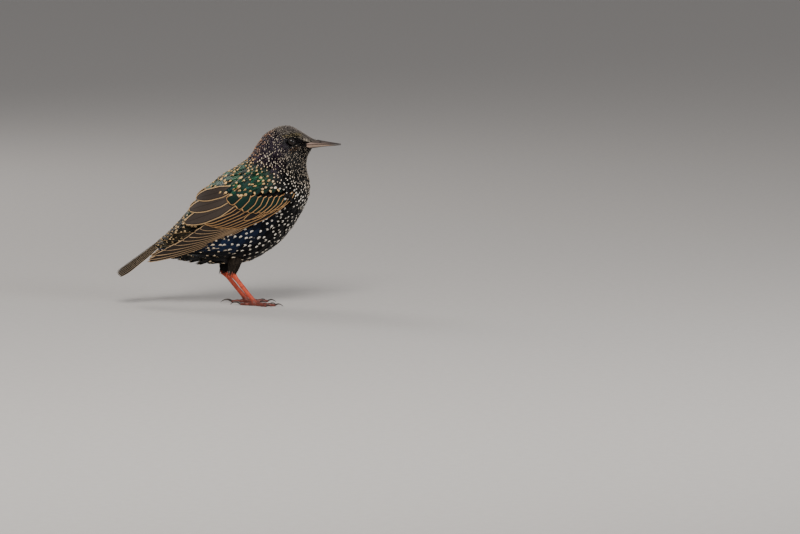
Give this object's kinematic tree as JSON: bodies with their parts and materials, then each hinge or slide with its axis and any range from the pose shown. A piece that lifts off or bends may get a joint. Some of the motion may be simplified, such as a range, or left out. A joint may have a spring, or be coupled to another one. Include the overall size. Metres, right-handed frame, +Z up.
{
  "type": "starling",
  "caption": "Still, life-size starling in spotted winter plumage, standing with its wings folded and its bill level, resting on its own feet.",
  "frame": {"origin": "on the ground, under the middle of the bird's length", "axes": "+X the way the bird faces, +Y to its left, +Z up; metres"},
  "size_m": [0.1861, 0.0636, 0.1487],
  "materials": {
    "plumage": "feathers, glossy black with green and purple sheen",
    "wing_feathers": "feathers, dark brown with orange-buff edges",
    "tail_feathers": "feathers, grey-brown with pale edges",
    "bill": "horn, satin",
    "legs": "scaled skin, satin",
    "claws": "horn, smooth",
    "eyes": "wet, clear and dark"
  },
  "bodies": {
    "root": {"head": "plumage", "neck": "plumage", "torso": "plumage", "tail": "tail_feathers", "upper_bill": "bill", "lower_bill": "bill", "right_eye": "eyes", "right_wing": "wing_feathers", "right_thigh": "plumage", "right_shank": "legs", "right_foot": "legs", "right_hind_claw": "claws", "right_inner_claw": "claws", "right_middle_claw": "claws", "right_outer_claw": "claws", "left_eye": "eyes", "left_wing": "wing_feathers", "left_thigh": "plumage", "left_shank": "legs", "left_foot": "legs", "left_hind_claw": "claws", "left_inner_claw": "claws", "left_middle_claw": "claws", "left_outer_claw": "claws"}
  },
  "joints": []
}
